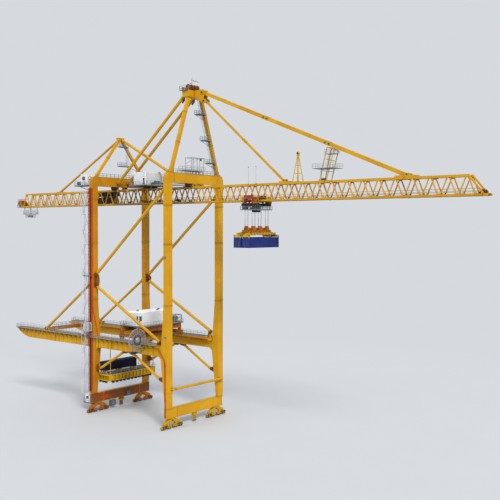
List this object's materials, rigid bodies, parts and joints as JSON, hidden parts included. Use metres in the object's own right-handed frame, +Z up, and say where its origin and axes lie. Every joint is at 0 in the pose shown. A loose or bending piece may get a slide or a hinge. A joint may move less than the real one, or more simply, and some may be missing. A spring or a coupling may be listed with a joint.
{
  "type": "ship to shore container crane, 1:10 scale model",
  "caption": "Double-trolley quay crane on rails: portal legs, trussed boom held by stays from an A-frame, hoisted container pair, lower portal trolley and lashing platform.",
  "frame": {"origin": "middle of the bounding box at rail level, about 0.22 m to the near side of the boom's centre line, because the cable reel stands out on the near side", "axes": "+X along the boom towards the water, +Y along the quay to the far side, +Z up"},
  "size_m": [16.53, 2.988, 9.52],
  "materials": {
    "yellow_paint": "satin paint, weathered",
    "orange_paint": "satin paint, weathered",
    "red_paint": "satin paint",
    "galvanised": "galvanised",
    "white_paint": "satin paint",
    "dark_paint": "satin paint",
    "blue_paint": "container paint",
    "navy_paint": "container paint",
    "wire_rope": "greased wire"
  },
  "bodies": {
    "crane": {"bogie_set_waterside_near": "yellow_paint", "leg_waterside_near": "yellow_paint", "bogie_set_waterside_far": "yellow_paint", "leg_waterside_far": "yellow_paint", "sill_beam_waterside": "yellow_paint", "top_beam_waterside": "yellow_paint", "bogie_set_landside_near": "yellow_paint", "leg_landside_near": "yellow_paint", "bogie_set_landside_far": "yellow_paint", "leg_landside_far": "yellow_paint", "sill_beam_landside": "yellow_paint", "top_beam_landside": "yellow_paint", "portal_girder_near": "yellow_paint", "k_brace_near": "yellow_paint", "backreach_stay_near": "yellow_paint", "knee_brace_near": "yellow_paint", "backstay_near": "yellow_paint", "portal_girder_far": "yellow_paint", "k_brace_far": "yellow_paint", "backreach_stay_far": "yellow_paint", "knee_brace_far": "yellow_paint", "backstay_far": "yellow_paint", "backreach_cross_beam": "orange_paint", "waterside_tie_pipe": "yellow_paint", "a_frame": "yellow_paint", "apex_platform": "galvanised", "landside_pylon": "yellow_paint", "pylon_back_tie": "yellow_paint", "pylon_forward_tie": "yellow_paint", "forestay_outer": "yellow_paint", "forestay_inner": "yellow_paint", "boom_stay_rest": "yellow_paint", "stay_support_tower": "galvanised", "truss_backreach": "yellow_paint", "truss_middle": "yellow_paint", "truss_boom_inner": "yellow_paint", "truss_boom_outer": "yellow_paint", "landside_end_gallery": "galvanised", "machinery_house": "white_paint", "machinery_house_deck": "galvanised", "landside_cabin": "white_paint", "lift_mast": "red_paint", "stair_tower": "galvanised", "base_cabin": "white_paint", "portal_level_cabin": "white_paint", "cable_reel": "galvanised", "lashing_platform": "yellow_paint", "platform_container": "navy_paint", "landside_sheave_block": "orange_paint"},
    "main_trolley": {"main_trolley": "yellow_paint", "operator_cab": "dark_paint", "hoist_ropes": "wire_rope"},
    "hung_load": {"headblock": "orange_paint", "tandem_spreader": "yellow_paint", "hung_container_landside": "blue_paint", "hung_container_waterside": "blue_paint"},
    "portal_trolley": {"portal_trolley": "orange_paint", "portal_trolley_house": "white_paint"}
  },
  "joints": [
    {"name": "main_trolley_travel", "type": "slide", "parent": "crane", "child": "main_trolley", "axis": [1, 0, 0], "range_m": [-9.01, 5.59]},
    {"name": "hoist", "type": "slide", "parent": "main_trolley", "child": "hung_load", "axis": [0, 0, -1], "range_m": [-0.2, 4.8], "deforming": ["hoist_ropes"]},
    {"name": "portal_trolley_travel", "type": "slide", "parent": "crane", "child": "portal_trolley", "axis": [1, 0, 0], "range_m": [-2.85, 1.01]}
  ]
}
